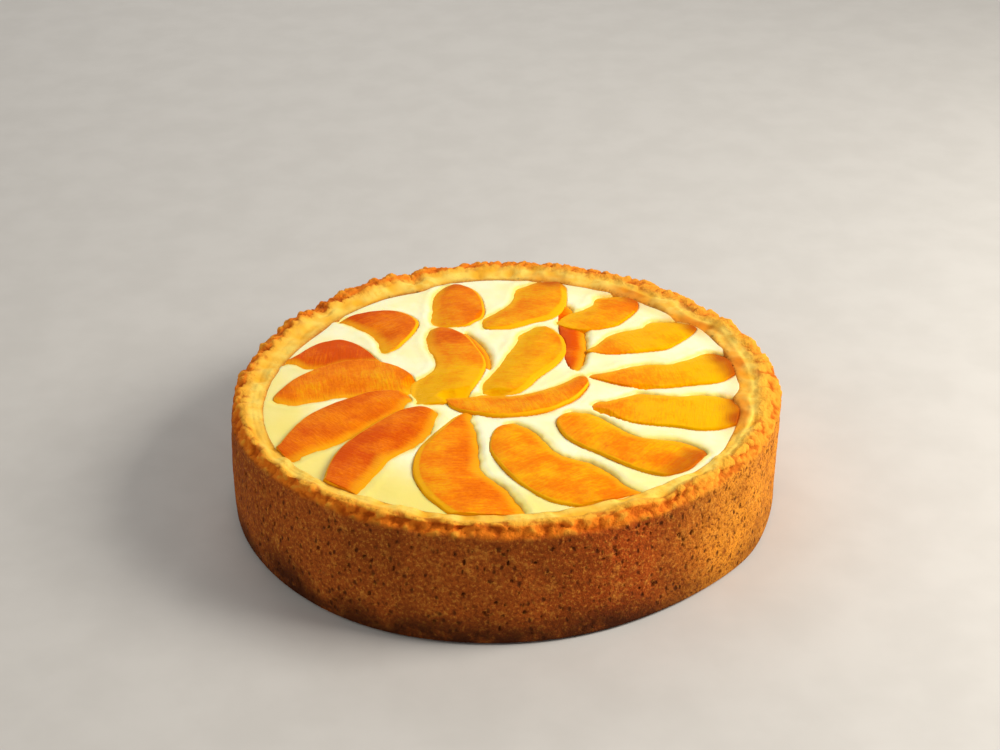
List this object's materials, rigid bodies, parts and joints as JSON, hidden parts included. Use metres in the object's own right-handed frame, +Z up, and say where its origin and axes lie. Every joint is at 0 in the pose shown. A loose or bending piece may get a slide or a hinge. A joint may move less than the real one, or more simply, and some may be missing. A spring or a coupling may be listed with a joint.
{
  "type": "peach curd cheese pie",
  "caption": "Round deep shortcrust pie with a crumbly raised rim, filled level with curd cheese and topped with a fan of half sunk peach slices.",
  "frame": {"origin": "middle of the flat underside of the crust, on the surface the pie stands on", "axes": "+Z up, -Y towards the front of the picture, +X to its right"},
  "size_m": [0.2022, 0.2015, 0.0449],
  "materials": {
    "crust": "matte golden brown baked shortcrust, paler inside the rim",
    "curd_cheese": "satin set cream, pale yellow",
    "peach_yellow": "moist yellow peach flesh",
    "peach_orange": "moist orange peach flesh",
    "peach_red": "moist deep orange peach flesh"
  },
  "bodies": {
    "root": {"crust": "crust", "curd_filling": "curd_cheese", "peach_under_right": "peach_orange", "peach_under_left": "peach_orange", "peach_west_north": "peach_red", "peach_north_east": "peach_orange", "peach_north_west": "peach_orange", "peach_back_west": "peach_orange", "peach_east": "peach_yellow", "peach_east_north": "peach_yellow", "peach_east_south": "peach_yellow", "peach_south_east": "peach_orange", "peach_south": "peach_orange", "peach_south_west": "peach_orange", "peach_west": "peach_red", "peach_north": "peach_orange", "peach_west_south": "peach_red", "peach_middle_right": "peach_orange", "peach_middle_left": "peach_orange", "peach_front_west": "peach_red", "peach_middle_front": "peach_orange"}
  },
  "joints": []
}
